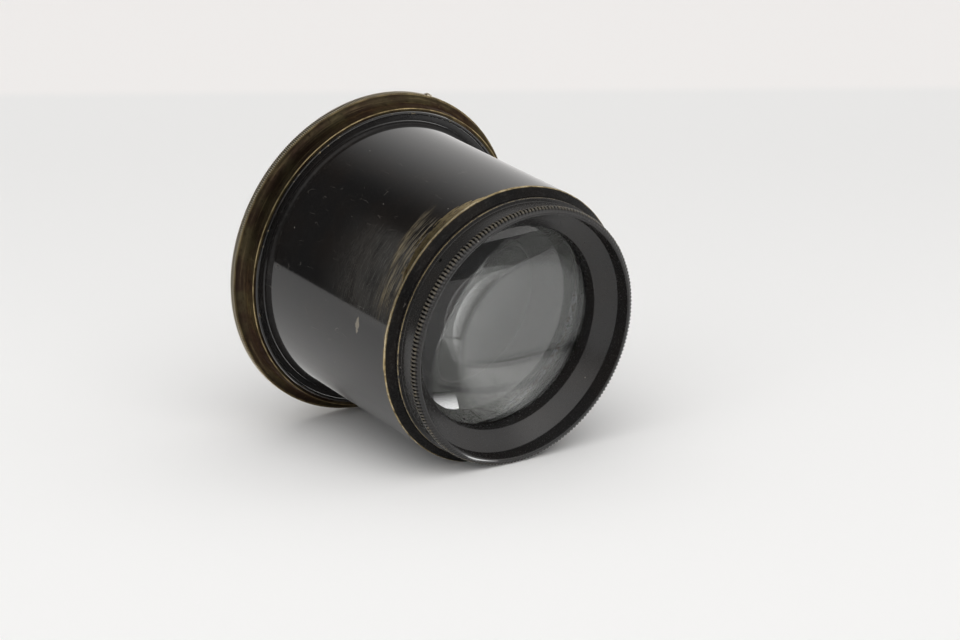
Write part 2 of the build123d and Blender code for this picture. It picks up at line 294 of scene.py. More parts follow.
def strip(a, count_a, b, count_b):
    """Faces between two rings of vertices that start at a and b."""
    if count_a == 1:
        return [(a, b + i, b + (i + 1) % count_b) for i in range(count_b)]
    if count_b == 1:
        return [(a + (i + 1) % count_a, a + i, b) for i in range(count_a)]
    if count_a == count_b:
        return [
            (a + i, b + i, b + (i + 1) % count_b, a + (i + 1) % count_a)
            for i in range(count_a)
        ]
    if count_a > count_b:
        ratio = count_a // count_b
        return [
            tuple(a + (i * ratio + k) % count_a for k in range(ratio, -1, -1))
            + (b + i, b + (i + 1) % count_b)
            for i in range(count_b)
        ]
    ratio = count_b // count_a
    return [
        tuple(b + (i * ratio + k) % count_b for k in range(ratio + 1))
        + (a + (i + 1) % count_a, a + i)
        for i in range(count_a)
    ]


# ---- materials ----
class Finish:
    """A procedural material, with short calls for the nodes that the finishes share. Its places
    are in millimetres in the piece's own space, so they ride with the piece."""

    def __init__(self, name):
        self.material = bpy.data.materials.new(name)
        self.material.use_nodes = True
        self.nodes = self.material.node_tree.nodes
        self.links = self.material.node_tree.links
        self.shader = self.nodes["Principled BSDF"]
        coordinates = self.nodes.new("ShaderNodeTexCoord")
        scale = self.nodes.new("ShaderNodeVectorMath")
        scale.operation = "SCALE"
        self.links.new(coordinates.outputs["Object"], scale.inputs[0])
        scale.inputs["Scale"].default_value = 1 / MM
        self.place = scale.outputs["Vector"]
        axes = self.nodes.new("ShaderNodeSeparateXYZ")
        self.links.new(self.place, axes.inputs[0])
        x, y, z = axes.outputs
        self.station = self.math("MULTIPLY", y, -1.0)
        across = self.math("MULTIPLY", x, x)
        up = self.math("MULTIPLY", z, z)
        self.radius = self.math("SQRT", self.math("ADD", across, up))
        left = self.math("MULTIPLY", x, -1.0)
        from_top = self.math("MULTIPLY", self.math("ARCTAN2", left, z), 180 / pi)
        self.angle = self.math("ADD", from_top, 90.0)

    def put(self, socket, value):
        if isinstance(value, bpy.types.NodeSocket):
            self.links.new(value, socket)
        elif isinstance(value, tuple) and len(value) == 3 and socket.type == "RGBA":
            socket.default_value = (*value, 1.0)
        else:
            socket.default_value = value

    def math(self, operation, a, b=0.0, clamp=False):
        node = self.nodes.new("ShaderNodeMath")
        node.operation = operation
        node.use_clamp = clamp
        self.put(node.inputs[0], a)
        self.put(node.inputs[1], b)
        return node.outputs[0]

    def plus(self, a, b):
        return self.math("ADD", a, b)

    def minus(self, a, b):
        return self.math("SUBTRACT", a, b)

    def apart(self, a, b):
        return self.math("ABSOLUTE", self.minus(a, b))

    def times(self, *factors):
        result = factors[0]
        for factor in factors[1:]:
            result = self.math("MULTIPLY", result, factor)
        return result

    def most(self, *values):
        result = values[0]
        for value in values[1:]:
            result = self.math("MAXIMUM", result, value)
        return result

    def ease(self, value, low, high, at_low=0.0, at_high=1.0):
        """Turns value from low to high smoothly into at_low to at_high."""
        node = self.nodes.new("ShaderNodeMapRange")
        node.interpolation_type = "SMOOTHSTEP"
        for socket, setting in zip(node.inputs[:5], (value, low, high, at_low, at_high)):
            self.put(socket, setting)
        return node.outputs[0]

    def band(self, value, low, high, edge):
        """1 from low to high, and 0 beyond a soft edge."""
        rise = self.ease(value, low - edge, low)
        return self.times(rise, self.ease(value, high, high + edge, 1.0, 0.0))

    def stretched(self, stretch=(1.0, 1.0, 1.0), shift=(0.0, 0.0, 0.0)):
        node = self.nodes.new("ShaderNodeMapping")
        self.links.new(self.place, node.inputs["Vector"])
        node.inputs["Scale"].default_value = stretch
        node.inputs["Location"].default_value = shift
        return node.outputs[0]

    def noise_at(self, place, scale, detail, roughness):
        node = self.nodes.new("ShaderNodeTexNoise")
        self.links.new(place, node.inputs["Vector"])
        node.inputs["Scale"].default_value = scale
        node.inputs["Detail"].default_value = detail
        node.inputs["Roughness"].default_value = roughness
        return node.outputs

    def noise(self, size, stretch=(1.0, 1.0, 1.0), detail=4.0, roughness=0.55, shift=0.0):
        """Noise whose blotches are about size millimetres, divided by stretch."""
        place = self.stretched(stretch, (shift, shift, shift))
        return self.noise_at(place, 1 / size, detail, roughness)["Fac"]

    def turning(self, size, shift=0.0):
        """Fine marks that run round the axis, as a lathe leaves them."""
        return self.noise(size, (0.02, 1.0, 0.02), 3.0, 0.7, shift)

    def streaks(self, length, width, detail=4.0, roughness=0.6, shift=0.0):
        """Noise whose blotches are about length millimetres round the axis by width millimetres
        along it."""
        join = self.nodes.new("ShaderNodeCombineXYZ")
        round_axis = self.math("MULTIPLY", self.angle, radians(STREAK_RADIUS) / length)
        self.put(join.inputs[0], round_axis)
        self.put(join.inputs[1], self.math("MULTIPLY", self.station, 1 / width))
        join.inputs[2].default_value = shift
        return self.noise_at(join.outputs[0], 1.0, detail, roughness)["Fac"]

    def specks(self, size, spacing, share, shift=0.0):
        """Scattered dots, on that share of the cells of a Voronoi pattern."""
        node = self.nodes.new("ShaderNodeTexVoronoi")
        self.links.new(self.stretched(shift=(shift, shift, shift)), node.inputs["Vector"])
        node.inputs["Scale"].default_value = 1 / spacing
        dot = self.ease(node.outputs["Distance"], 0.4 * size / spacing, size / spacing, 1.0, 0.0)
        tone = self.nodes.new("ShaderNodeSeparateColor")
        self.links.new(node.outputs["Color"], tone.inputs[0])
        return self.times(dot, self.ease(tone.outputs[0], 1 - share, 1 - share + 0.02))

    def hairlines(self, spacing, width, stretch, shift):
        """Thin curved scratches: the edges of a stretched and warped Voronoi pattern."""
        place = self.stretched(shift=(shift, 0.0, shift))
        push = self.nodes.new("ShaderNodeVectorMath")
        push.operation = "MULTIPLY_ADD"
        self.links.new(self.noise_at(place, 0.25 / spacing, 2.0, 0.5)["Color"], push.inputs[0])
        push.inputs[1].default_value = (spacing * 2.4,) * 3
        self.links.new(self.stretched(stretch, (shift, shift, 0.0)), push.inputs[2])
        node = self.nodes.new("ShaderNodeTexVoronoi")
        node.feature = "DISTANCE_TO_EDGE"
        self.links.new(push.outputs[0], node.inputs["Vector"])
        node.inputs["Scale"].default_value = 1 / spacing
        return self.ease(node.outputs["Distance"], 0.0, width / spacing, 1.0, 0.0)

    def cuts(self, teeth, middle, half_length):
        """1 in the cuts of a milled edge, which the finishes paint dark as shade. A cut's end is
        round, and half a cut is about a third of the pitch."""
        pitch = self.math("FRACT", self.math("MULTIPLY", self.angle, teeth / 360))
        from_cut = self.minus(0.5, self.apart(pitch, 0.5))
        across = self.math("MULTIPLY", from_cut, 1 / 0.34)
        along = self.math("MULTIPLY", self.minus(self.station, middle), 1 / half_length)
        far = self.plus(self.times(across, across), self.times(along, along))
        return self.ease(far, 0.5, 1.1, 1.0, 0.0)

    def blend(self, factor, low, high):
        node = self.nodes.new("ShaderNodeMix")
        node.data_type = "RGBA"
        self.put(node.inputs["Factor"], factor)
        colours = [s for s in node.inputs if s.type == "RGBA"]
        self.put(colours[0], low)
        self.put(colours[1], high)
        return [s for s in node.outputs if s.type == "RGBA"][0]

    def between(self, factor, low, high):
        node = self.nodes.new("ShaderNodeMix")
        for socket, value in zip([s for s in node.inputs if s.type == "VALUE"], (factor, low, high)):
            self.put(socket, value)
        return node.outputs[0]

    def bump(self, height, depth, strength=1.0):
        """Bump from a height of 0 to 1 that stands for depth millimetres."""
        node = self.nodes.new("ShaderNodeBump")
        node.inputs["Strength"].default_value = strength
        node.inputs["Distance"].default_value = depth * MM
        self.links.new(height, node.inputs["Height"])
        self.links.new(node.outputs[0], self.shader.inputs["Normal"])

    def set(self, **settings):
        for name, value in settings.items():
            self.put(self.shader.inputs[name.replace("_", " ")], value)
        return self.material


def patinated_brass():
    """Bare brass gone brown and olive, with handled edges rubbed bright."""
    f = Finish("patinated_brass")
    blotch = f.noise(6.0, detail=5.0)
    marks = f.turning(0.22)
    grime = f.noise(0.9, (1.0, 1.6, 1.0), 5.0, 0.65, 7.0)
    colour = f.blend(f.ease(blotch, 0.38, 0.64), BRASS_BROWN, BRASS_OLIVE)
    colour = f.blend(f.ease(marks, 0.52, 0.72, 0.0, 0.45), colour, BRASS_DULL)
    colour = f.blend(f.ease(grime, 0.56, 0.70, 0.0, 0.75), colour, GRIME)
    crest = f.ease(f.radius, RING_RADIUS - 0.13, RING_RADIUS - 0.05)
    rim = f.times(
        f.band(f.station, RIM_STATION - 0.10, RIM_STATION + 0.2, 0.07),
        f.ease(f.radius, RIM_RADIUS - 0.22, RIM_RADIUS - 0.1),
    )
    foot = f.times(
        f.band(f.station, RING_EDGE_WIDTH - 0.10, RING_EDGE_WIDTH + 0.04, 0.06),
        f.ease(f.radius, RING_RADIUS - 0.5, RING_RADIUS - 0.25),
    )
    scores = f.most(*[f.band(f.station, s - 0.03, s + 0.03, 0.04) for s in SCORES])
    lip = f.times(scores, f.ease(f.radius, RIM_RADIUS - 0.2, RIM_RADIUS))
    patchy = f.ease(f.noise(3.0, detail=4.0, shift=3.0), 0.38, 0.62, 0.35, 1.0)
    worn = f.most(f.times(rim, patchy), f.times(crest, 0.85), f.times(foot, patchy, 0.6))
    rub = f.times(f.ease(f.noise(1.6, (1.0, 0.6, 1.0), 6.0, 0.7, 11.0), 0.60, 0.74), 0.35)
    colour = f.blend(f.times(lip, 0.8), colour, (0.010, 0.008, 0.005))
    colour = f.blend(rub, colour, BRASS_DULL)
    colour = f.blend(worn, colour, BRASS_BRIGHT)
    colour = f.blend(f.times(crest, 0.9), colour, BRASS_RUBBED)
    # Painted shade: the cuts of the milled edge are painted nearly black.
    edge = f.ease(f.radius, RING_RADIUS - 0.4, RING_RADIUS - 0.25)
    cuts = f.times(f.cuts(RING_TEETH, RING_EDGE_WIDTH / 2, 0.9), edge)
    colour = f.blend(f.times(cuts, 0.9), colour, (0.006, 0.004, 0.003))
    f.put(f.shader.inputs["Specular Tint"], (0.35, 0.28, 0.20))
    roughness = f.ease(f.noise(1.2, detail=5.0, shift=5.0), 0.3, 0.7, 0.36, 0.58)
    height = f.plus(f.times(marks, 0.5), f.times(grime, 0.5))
    f.bump(height, 0.012, 0.6)
    return f.set(Base_Color=colour, Metallic=0.9, Roughness=roughness)


def lacquered(name, roughness, wear, brown=0.25, paler=1.0, scratches=0.45, cuts=None, gloss=None):
    """Black lacquer over brass. roughness is its range. wear(f) gives where the lacquer has gone
    and where it has scuffs, which on the front cell's band stand for a painted sheen; cuts(f) is 1
    in the cuts of a milled edge, painted near black as shade; and gloss(f) is the specular level."""
    f = Finish(name)
    cloud = f.noise(9.0, detail=3.0)
    fine = f.noise(0.35, detail=4.0, shift=2.0)
    black = tuple(c * paler for c in LACQUER)
    colour = f.blend(f.ease(cloud, 0.35, 0.7, 0.0, brown), black, LACQUER_BROWN)
    dust = f.specks(0.07, 1.3, 0.22, 4.0)
    dust_large = f.specks(0.20, 4.0, 0.35, 9.0)
    lines = f.hairlines(3.2, 0.035, (1.0, 0.35, 1.0), 3.0)
    lines = f.times(lines, f.ease(f.noise(2.6, detail=3.0, shift=6.0), 0.55, 0.66), scratches)
    marks = f.most(f.times(dust, 0.5), dust_large, lines)
    bare, scuff_and_sheen = wear(f)
    tarnish = f.noise(1.0, (1.0, 2.0, 1.0), 4.0, 0.6, 8.0)
    brass = f.blend(f.ease(tarnish, 0.28, 0.55), BRASS_DULL, BRASS_BRIGHT)
    colour = f.blend(f.times(marks, 0.6), colour, DUST)
    # Scuffs, and on the front cell's band a painted sheen, in the same grey.
    colour = f.blend(scuff_and_sheen, colour, LACQUER_SCUFF_AND_SHEEN)
    colour = f.blend(bare, colour, brass)
    colour = f.blend(f.times(f.ease(bare, 0.96, 0.99), 0.7), colour, BRASS_PALE)
    dull = f.math("ADD", f.ease(fine, 0.3, 0.7, *roughness), f.times(marks, 0.25), clamp=True)
    dull = f.between(bare, f.plus(dull, f.times(scuff_and_sheen, 0.15)), 0.38)
    metallic = bare
    specular = gloss(f) if gloss else 0.5
    # Painted shade: the cuts of a milled edge are painted near black, with little specular and no
    # metal.
    if cuts:
        cut_shade = cuts(f)
        colour = f.blend(cut_shade, colour, CUT_SHADE)
        specular = f.between(cut_shade, specular, 0.05)
        metallic = f.times(metallic, f.minus(1.0, cut_shade))
    f.bump(f.minus(f.minus(f.times(fine, 0.10), lines), f.times(bare, 0.8)), 0.02, 0.5)
    f.put(f.shader.inputs["Specular IOR Level"], specular)
    return f.set(Base_Color=colour, Metallic=metallic, Roughness=dull)


def barrel_wear(f):
    """Bare brass along the front edge, with a pale line at the very edge, and in a patch where
    hands have rubbed. Behind the patch are a second streak, a haze of fine scratches round the
    barrel, and one chip."""
    from_edge = f.minus(BARREL_FRONT, f.station)
    rubbed = f.band(f.angle, 118.0, 143.0, 14.0)
    ragged = f.ease(f.streaks(4.5, 0.7, 5.0, 0.6, 1.0), 0.34, 0.66, 0.35, 1.4)
    reach = f.times(f.plus(f.times(rubbed, 1.9), 0.32), ragged)
    edge = f.times(
        f.ease(f.minus(from_edge, reach), -0.25, 0.12, 1.0, 0.0),
        f.ease(f.band(f.angle, 100.0, 200.0, 30.0), 0.0, 1.0, 0.35, 1.0),
    )
    line = f.times(
        f.ease(from_edge, 0.12, 0.34, 1.0, 0.0),
        f.band(f.angle, 112.0, 178.0, 20.0),
    )
    second_place = f.ease(f.angle, 134.0, 160.0, 6.1, 3.4)
    second = f.times(
        f.ease(f.apart(from_edge, second_place), 0.2, 1.3, 1.0, 0.0),
        f.band(f.angle, 134.0, 158.0, 16.0),
        f.ease(f.streaks(9.0, 0.55, 4.0, 0.6, 12.0), 0.44, 0.60),
        f.ease(f.streaks(3.2, 0.17, 6.0, 0.75, 13.0), 0.42, 0.56, 0.08, 1.0),
    )
    lines = f.times(
        f.ease(f.streaks(6.0, 0.34, 4.0, 0.6, 14.0), 0.50, 0.60),
        f.band(f.angle, 132.0, 160.0, 10.0),
        f.ease(from_edge, 3.5, 7.0, 1.0, 0.0),
    )
    fine = f.most(
        f.ease(f.streaks(3.0, 0.16, 4.0, 0.7, 17.0), 0.50, 0.66),
        f.times(f.ease(f.streaks(0.9, 0.25, 4.0, 0.7, 19.0), 0.56, 0.68), 0.7),
    )
    haze = f.times(
        f.band(f.angle, 144.0, 166.0, 11.0),
        f.ease(from_edge, 6.0, 26.0, 1.0, 0.0),
        f.ease(f.streaks(9.0, 3.0, 3.0, 0.5, 15.0), 0.30, 0.50, 0.6, 1.0),
        f.plus(f.times(fine, 0.30), 0.15),
    )
    faint = f.times(f.ease(f.streaks(3.5, 0.3, 5.0, 0.7, 23.0), 0.58, 0.70), 0.07)
    from_chip = f.plus(
        f.times(f.apart(f.angle, 177.0), 0.22), f.times(f.apart(f.station, 35.7), 1.1)
    )
    chip_ragged = f.noise(0.8, detail=5.0, shift=31.0)
    chip = f.ease(f.plus(from_chip, chip_ragged), 1.22, 1.40, 1.0, 0.0)
    bare = f.most(
        f.times(edge, 0.95), line, f.times(second, 0.36), f.times(lines, 0.16), f.times(chip, 0.16)
    )
    scuff_and_sheen = f.most(haze, faint, f.times(second, 0.5), f.times(lines, 0.45), f.times(chip, 0.7))
    return bare, scuff_and_sheen


def cell_wear(f):
    """The shoulder's thin bright edge, and the lands of the milled bead rubbed to brown brass. The
    smooth band is greyed a little, as a painted sheen.
    """
    ragged = f.noise(0.8, (0.7, 1.2, 0.7), 6.0, 0.7, 23.0)
    shoulder = f.times(
        f.band(f.station, SHOULDER_FRONT - 0.22, SHOULDER_FRONT - 0.06, 0.06),
        f.ease(f.radius, SHOULDER_RADIUS - 0.25, SHOULDER_RADIUS - 0.12),
        f.ease(ragged, 0.34, 0.56),
        f.ease(f.band(f.angle, 130.0, 215.0, 40.0), 0.0, 1.0, 0.25, 0.85),
    )
    on_bead = f.band(f.station, BEAD_REAR, BEAD_FRONT, 0.1)
    lands = f.times(on_bead, f.ease(f.radius, BEAD_RADIUS - 0.5, BEAD_RADIUS - 0.1))
    rubbed = f.times(lands, f.ease(ragged, 0.40, 0.64), 0.22)
    # Painted sheen: the smooth band is greyed a little with the scuff grey.
    band = f.times(
        f.band(f.station, SHOULDER_FRONT + 0.05, BEAD_REAR, 0.1),
        f.ease(f.radius, BAND_RADIUS - 0.2, BAND_RADIUS - 0.05),
    )
    return f.most(shoulder, rubbed), f.most(f.times(lands, 0.36), f.times(band, 0.05))


def cell_cuts(f):
    """The bead's cuts, round the middle of its outer face. lacquered() paints them dark as
    shade.
    """
    outside = f.ease(f.radius, BEAD_RADIUS - 0.95, BEAD_RADIUS - 0.8)
    return f.times(f.cuts(BEAD_TEETH, BEAD_REAR + 0.78, 0.54), outside)


def rear_cell_wear(f):
    """The grip's milling, unevenly rubbed."""
    ragged = f.noise(0.9, (0.8, 1.4, 0.8), 6.0, 0.7, 21.0)
    return f.times(f.band(f.station, *REAR_BEAD, 0.08), f.ease(ragged, 0.36, 0.60)), 0.0


def rear_cell_cuts(f):
    # The grip's cuts, which lacquered() paints dark as shade.
    outside = f.ease(f.radius, REAR_GRIP_RADIUS - 0.95, REAR_GRIP_RADIUS - 0.8)
    return f.times(f.cuts(REAR_TEETH, sum(REAR_BEAD) / 2, 0.85), outside)


def collar_cove_painted_shade(f):
    """Painted shade: the cove beside the barrel has a lower specular level than the bead, so it
    shows darker, as a recess in shade.
    """
    return f.ease(f.radius, COLLAR_RADIUS - 1.9, COLLAR_RADIUS - 0.8, 0.16, 0.5)


def collar_wear(f):
    """Spots of brass on the bead, and a little dust all over."""
    ragged = f.noise(0.7, (0.6, 1.2, 0.6), 5.0, 0.7, 25.0)
    bead = f.times(
        f.ease(f.radius, COLLAR_RADIUS - 0.5, COLLAR_RADIUS - 0.3),
        f.ease(f.station, COLLAR_BEAD_BASE + 0.05, COLLAR_BEAD_BASE + 0.25),
        f.ease(ragged, 0.58, 0.72),
    )
    return f.times(bead, 0.5), f.times(f.ease(ragged, 0.5, 0.7), 0.06)


def front_ring_wear(f):
    """A thin brass line along the chamfer's outer edge."""
    ragged = f.streaks(2.2, 0.5, 5.0, 0.65, 27.0)
    outer_edge = f.ease(f.station, BARREL_FRONT + 0.10, BARREL_FRONT + 0.22, 1.0, 0.0)
    bare = f.times(outer_edge, f.ease(ragged, 0.34, 0.56, 0.25, 1.0))
    return bare, f.times(f.ease(ragged, 0.50, 0.66), 0.05)


def blackened_brass():
    """Brass blackened inside against stray light, with a trace of brass in its turning marks."""
    f = Finish("blackened_brass")
    blotch = f.noise(3.0, detail=4.0)
    marks = f.turning(0.25, 3.0)
    colour = f.blend(f.ease(blotch, 0.4, 0.65), (0.008, 0.0075, 0.007), (0.014, 0.012, 0.010))
    colour = f.blend(f.ease(marks, 0.62, 0.76, 0.0, 0.08), colour, BRASS_DULL)
    f.bump(marks, 0.004, 0.2)
    f.put(f.shader.inputs["Specular IOR Level"], 0.25)
    return f.set(Base_Color=colour, Roughness=f.ease(blotch, 0.3, 0.7, 0.55, 0.68))


def thread_brass():
    """Cut brass threads, bright in patches and dark with old grease in others."""
    f = Finish("thread_brass")
    grease = f.noise(0.8, detail=5.0, shift=2.0)
    marks = f.turning(0.12, 5.0)
    colour = f.blend(f.ease(grease, 0.42, 0.66), BRASS_BRIGHT, BRASS_BROWN)
    colour = f.blend(f.ease(marks, 0.5, 0.7, 0.0, 0.4), colour, BRASS_DULL)
    roughness = f.ease(grease, 0.3, 0.7, 0.24, 0.5)
    f.bump(marks, 0.01, 0.5)
    return f.set(Base_Color=colour, Metallic=1.0, Roughness=roughness)


def dark_steel():
    """Spring steel gone brown in spots."""
    f = Finish("spring_steel")
    blotch = f.noise(0.8, detail=5.0)
    colour = f.blend(f.ease(blotch, 0.4, 0.65), (0.16, 0.165, 0.18), (0.07, 0.05, 0.035))
    f.bump(blotch, 0.01, 0.5)
    return f.set(
        Base_Color=colour, Metallic=1.0, Roughness=f.ease(blotch, 0.3, 0.7, 0.25, 0.55)
    )


def polished_glass(name, tint, ior, shift):
    """Old polished glass with a trace of haze, dust and fine cleaning marks."""
    f = Finish(name)
    haze = f.noise(7.0, detail=4.0, shift=shift)
    dust = f.specks(0.06, 1.6, 0.30, shift + 1.0)
    sleeks = f.hairlines(5.0, 0.03, (1.0, 1.0, 0.4), shift + 2.0)
    sleeks = f.times(sleeks, f.ease(haze, 0.52, 0.62), 0.10)
    veil = f.plus(f.ease(haze, 0.40, 0.75, 0.0, 0.012), f.times(dust, 0.30))
    cover = f.math("ADD", veil, f.times(sleeks, 0.3), clamp=True)
    clear = f.math("SUBTRACT", 1.0, cover, clamp=True)
    colour = f.blend(cover, tint, (0.55, 0.54, 0.52))
    f.shader.inputs["IOR"].default_value = ior
    f.links.new(clear, f.shader.inputs["Transmission Weight"])
    return f.set(Base_Color=colour, Roughness=f.times(sleeks, 0.3))


def glass_edge():
    """The ground rim of a lens, painted black, with the grey of the grinding showing."""
    f = Finish("ground_glass_edge")
    grain = f.noise(0.25, detail=5.0)
    bare = f.ease(f.noise(1.8, (0.6, 1.5, 0.6), 5.0, 0.7, 4.0), 0.52, 0.68)
    colour = f.blend(f.times(bare, 0.6), (0.014, 0.013, 0.012), (0.22, 0.22, 0.21))
    f.bump(grain, 0.02, 0.8)
    return f.set(Base_Color=colour, Roughness=f.ease(grain, 0.3, 0.7, 0.5, 0.8))


FINISHES = {
    "patina": patinated_brass(),
    "barrel": lacquered("black_lacquer_barrel", (0.06, 0.10), barrel_wear),
    # The collar's cove is darkened by its lower specular level, as painted shade.
    "collar": lacquered("black_lacquer_collar", (0.14, 0.24), collar_wear, gloss=collar_cove_painted_shade),
    "front_ring": lacquered(
        "black_lacquer_front_ring",
        (0.20, 0.34),
        front_ring_wear,
        brown=0.3,
        paler=0.6,
        gloss=lambda f: 0.08,
    ),
    "cell": lacquered(
        "black_lacquer_cell", (0.20, 0.28), cell_wear, paler=1.5, scratches=0.0, cuts=cell_cuts
    ),
    "rear_cell": lacquered(
        "black_lacquer_rear_cell", (0.20, 0.34), rear_cell_wear, cuts=rear_cell_cuts
    ),
    "blackened": blackened_brass(),
    "thread": thread_brass(),
    "steel": dark_steel(),
    "crown": polished_glass("crown_glass", (0.975, 0.99, 0.985), 1.52, 1.0),
    "flint": polished_glass("flint_glass", (0.99, 0.985, 0.95), 1.61, 5.0),
    "glass_edge": glass_edge(),
}


def finish_with(piece, *parts):
    """Gives a piece its finishes. The first is for all of it, and each (finish, test) after that
    is for the faces whose middle, as (radius, station), passes the test."""
    mesh = piece.data
    if len(mesh.materials) == 0:
        mesh.materials.append(FINISHES[parts[0]])
    mesh.materials[0] = FINISHES[parts[0]]
    middles = np.zeros(len(mesh.polygons) * 3)
    mesh.polygons.foreach_get("center", middles)
    middles = middles.reshape(-1, 3) / MM
    radii, stations = np.hypot(middles[:, 0], middles[:, 2]), -middles[:, 1]
    choice = np.zeros(len(mesh.polygons), np.int32)
    for i, (name, test) in enumerate(parts[1:], 1):
        mesh.materials.append(FINISHES[name])
        choice[test(radii, stations)] = i
    mesh.polygons.foreach_set("material_index", choice)


# ---- pieces ----
def milled(radius, profile, teeth, depth, seed, burr=None):
    """Rows of a milled edge: radius falls off by the profile's (drop, station) pairs, and the
    cut's depth with it, so that the ends of the teeth are rounded."""
    shape = tooth_shape(teeth, seed, burr)
    rows = []
    for drop, station in profile:
        local = depth * (1 - (drop / 0.96) ** 3)

        def offset(angle, s, local=local):
            return shape(angle, s) * local

        rows.append((radius - drop, station, (teeth,), offset))
    return rows


def bead_profile(rear_end, front_end, rear_drop, front_drop, steps):
    """(drop, station) pairs of a rounded bead between two ends."""
    middle = (rear_end + front_end) / 2
    half = (front_end - rear_end) / 2
    pairs = []
    for t in np.linspace(-1, 1, steps):
        end_drop = front_drop if t > 0 else rear_drop
        pairs.append((end_drop * (1 - sqrt(max(0.0, 1 - 0.98 * t * t))) / 0.859, middle + half * t))
    return pairs


def make_mounting_ring():
    edge_profile = [(0.16, 0.06), (0.05, 0.10), (0.0, 0.2), (0.0, 0.68)]
    edge_profile += [(0.0, 1.15), (0.05, 1.25), (0.16, 1.29)]
    cove = []
    for t in np.linspace(0, 1, 9):
        r = RING_RADIUS - 0.5 - (RING_RADIUS - 0.5 - HUB_RADIUS) * sin(t * pi / 2) ** 0.8
        s = RING_EDGE_WIDTH + (HUB_STATION - RING_EDGE_WIDTH) * (1 - cos(t * pi / 2)) ** 0.9
        cove.append((r, s))
    hub = []
    for score in SCORES:
        share = (score - HUB_STATION) / (RIM_STATION - HUB_STATION)
        surface = HUB_RADIUS + (RIM_RADIUS - HUB_RADIUS) * share
        hub += [(surface, score - 0.06), (surface - 0.07, score - 0.015)]
        hub += [(surface - 0.07, score + 0.015), (surface, score + 0.06)]
    rows = plain(
        [
            (SPIGOT_RADIUS - 0.05, -0.02),
            (SPIGOT_RADIUS + 0.1, 0.0),
            (RING_RADIUS - 0.45, 0.0),
            (RING_RADIUS - 0.3, 0.02),
        ],
        RING_TEETH,
    )
    rows += milled(RING_RADIUS, edge_profile, RING_TEETH, RING_TOOTH_DEPTH, 5, BURR)
    rows += plain([(RING_RADIUS - 0.3, RING_EDGE_WIDTH - 0.02)] + cove + hub, RING_TEETH)
    rows += plain(
        [
            (RIM_RADIUS + 0.01, RIM_STATION - 0.35),
            (RIM_RADIUS, RIM_STATION, 0.12),
            (RECESS_RADIUS + 0.02, RIM_STATION, 0.10),
            (RECESS_RADIUS, RIM_STATION - 0.4),
            (RECESS_RADIUS, RECESS_FLOOR + 0.3),
            (RECESS_RADIUS, RECESS_FLOOR, 0.1),
            (COLLAR_THREAD + 0.5, RECESS_FLOOR),
            (COLLAR_THREAD + 0.06, RECESS_FLOOR, 0.1),
            (COLLAR_THREAD + 0.06, RECESS_FLOOR - 0.2),
        ],
        RING_TEETH,
    )
    bore = COLLAR_THREAD + 0.06
    rows += thread_rows(bore, RECESS_FLOOR - 0.25, RING_WEB + 0.1, False, RING_TEETH)
    rows += plain(
        [
            (bore, RING_WEB + 0.05),
            (bore, RING_WEB, 0.05),
            (RING_BORE + 1, RING_WEB),
            (RING_BORE, RING_WEB, 0.15),
            (RING_BORE, RING_WEB - 1),
            (RING_BORE, SPIGOT_REAR + 1),
            (RING_BORE, SPIGOT_REAR, 0.2),
            (SPIGOT_RADIUS - 0.9, SPIGOT_REAR),
            (SPIGOT_RADIUS - 0.4, SPIGOT_REAR, 0.1),
            (SPIGOT_RADIUS - 0.05, SPIGOT_REAR + 0.4, 0.1),
            (SPIGOT_RADIUS - 0.05, SPIGOT_REAR + 0.5),
        ],
        RING_TEETH,
    )
    rows += thread_rows(SPIGOT_RADIUS - 0.05, SPIGOT_REAR + 0.55, -0.15, True, RING_TEETH)
    piece = turned("mounting_ring_turned", rows)
    finish_with(
        piece,
        "patina",
        ("thread", lambda r, s: (s < -0.1) | ((r < COLLAR_THREAD + 0.8) & (s < 3.05) & (s > 0.9))),
    )
    piece.visible_glossy = False
    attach(piece, "mount")
    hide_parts("mounting_ring")


